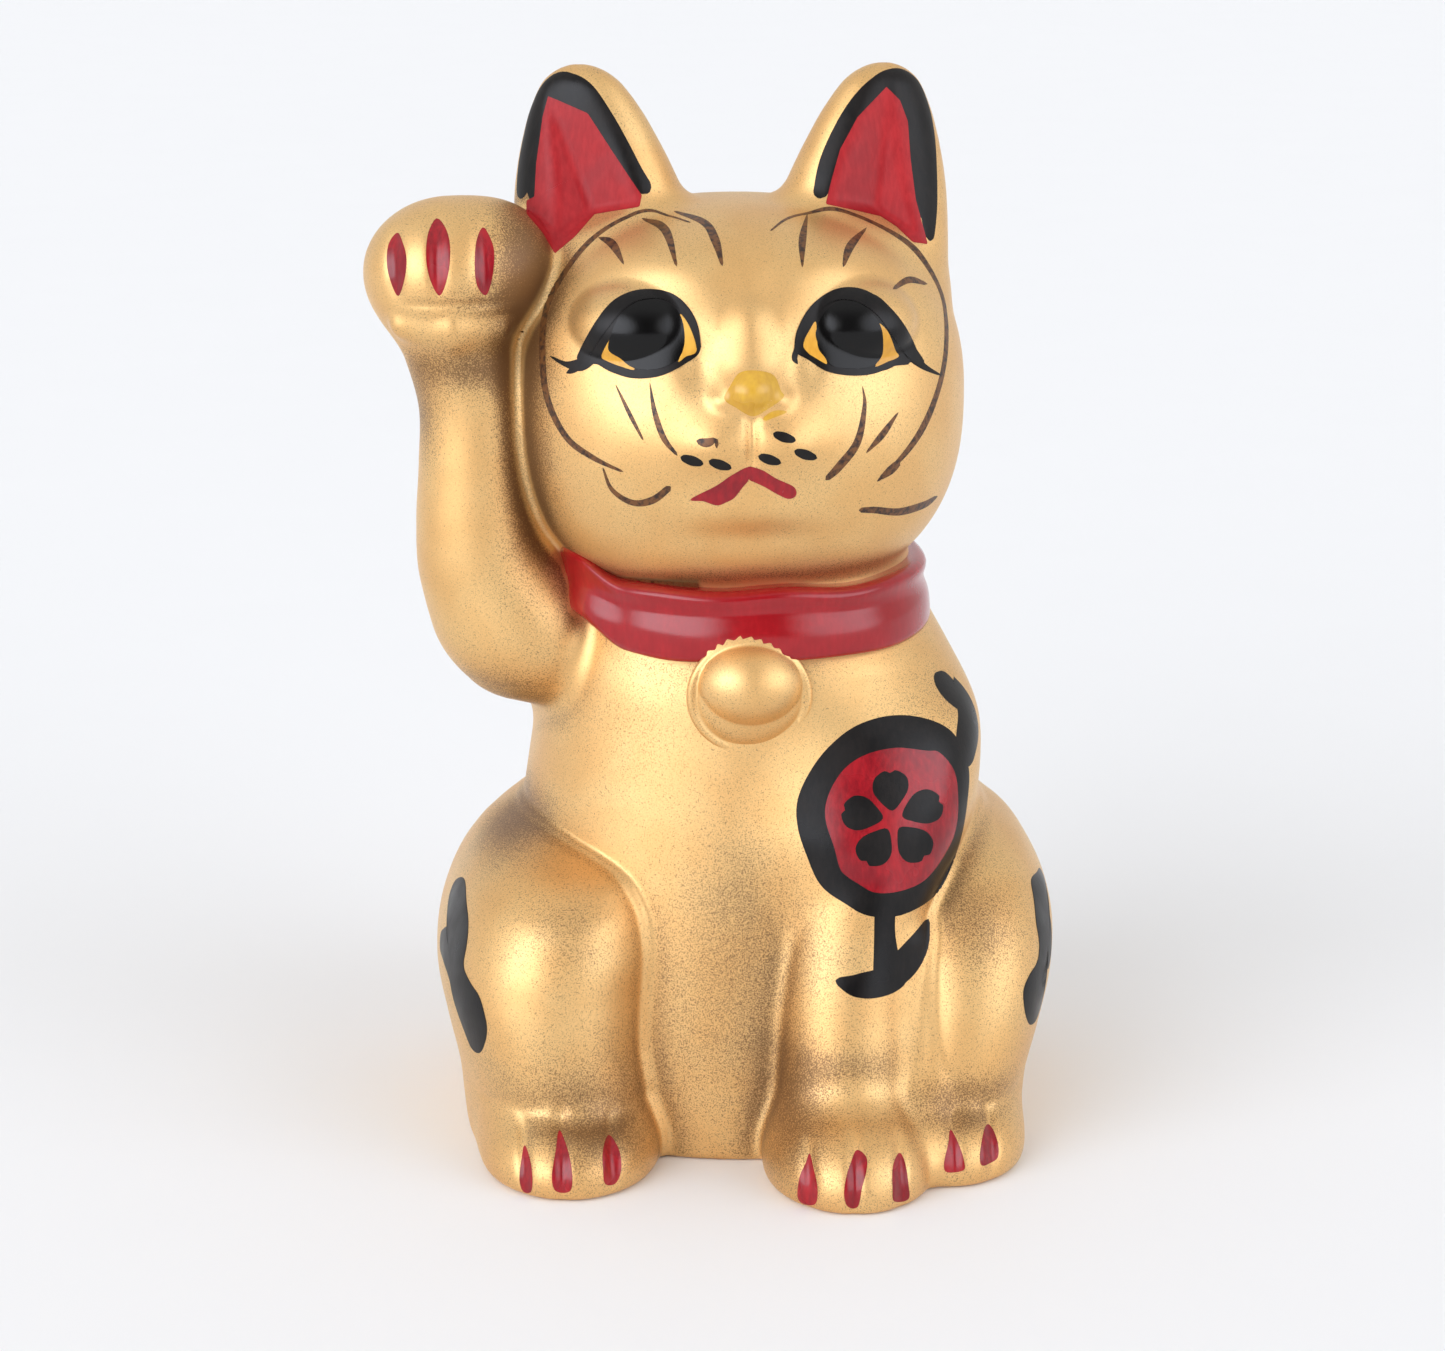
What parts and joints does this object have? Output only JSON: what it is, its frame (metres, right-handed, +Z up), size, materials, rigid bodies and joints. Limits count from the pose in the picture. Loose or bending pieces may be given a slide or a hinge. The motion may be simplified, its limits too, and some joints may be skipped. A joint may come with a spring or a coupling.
{
  "type": "beckoning cat figurine",
  "caption": "Seated hollow ceramic cat with one forepaw raised beside its head, a collar with a round bell, and a rubber plug in its flat base.",
  "frame": {"origin": "on the standing face, under the axis of the seated body", "axes": "+Z up, the cat faces -Y, +X is the cat's own left side"},
  "size_m": [0.163, 0.1576, 0.25],
  "materials": {
    "gold_paint": "satin metallic gold paint with brown shading in the hollows",
    "red_enamel": "glossy red enamel",
    "black_enamel": "glossy black enamel, brushed on",
    "yellow_enamel": "glossy yellow enamel",
    "brown_line": "thin brushed brown lines",
    "bare_clay": "matt fired earthenware",
    "rubber": "matt"
  },
  "bodies": {
    "figure": {"torso_shell": "gold_paint", "head_shell": "gold_paint", "left_ear": "gold_paint", "right_ear": "gold_paint", "raised_arm": "gold_paint", "left_foreleg": "gold_paint", "left_haunch": "gold_paint", "right_haunch": "gold_paint", "collar": "red_enamel", "bell": "gold_paint", "tail": "gold_paint", "base_plate": "bare_clay"},
    "stopper": {"base_stopper": "rubber"}
  },
  "joints": [
    {"name": "stopper_pull", "type": "slide", "parent": "figure", "child": "stopper", "axis": [0, 0, -1], "range_m": [0, 0.015]}
  ]
}
